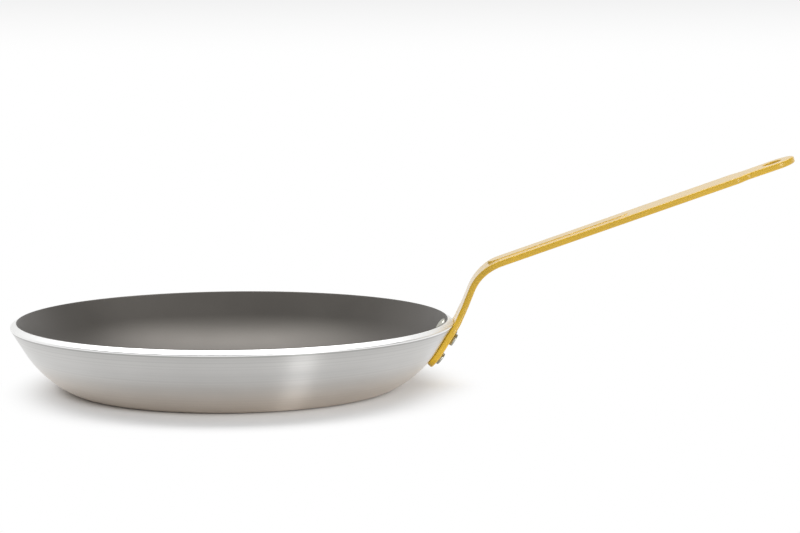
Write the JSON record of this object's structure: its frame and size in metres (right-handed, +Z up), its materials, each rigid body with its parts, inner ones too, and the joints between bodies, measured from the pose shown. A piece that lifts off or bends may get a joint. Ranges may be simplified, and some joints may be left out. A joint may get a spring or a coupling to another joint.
{
  "type": "omelette pan",
  "caption": "Shallow round pan with sloping sides, a dark non-stick lining and a long flat strip handle riveted to the wall, with a hanging hole at its end.",
  "frame": {"origin": "middle of the pan's flat underside", "axes": "+Z up through the middle of the pan, +X from the middle of the pan towards the handle's end, +Y to the left when looking along +X"},
  "size_m": [0.495, 0.28, 0.1456],
  "materials": {
    "bare_aluminium": "fine turned satin",
    "nonstick_coating": "matte dark grey baked coating",
    "yellow_coat": "gloss golden yellow baked coat on steel",
    "rivet_aluminium": "smooth, as upset"
  },
  "bodies": {
    "root": {"pan_body": "bare_aluminium", "nonstick_lining": "nonstick_coating", "handle": "yellow_coat", "rivet_upper_left": "rivet_aluminium", "rivet_upper_right": "rivet_aluminium", "rivet_lower": "rivet_aluminium"}
  },
  "joints": []
}
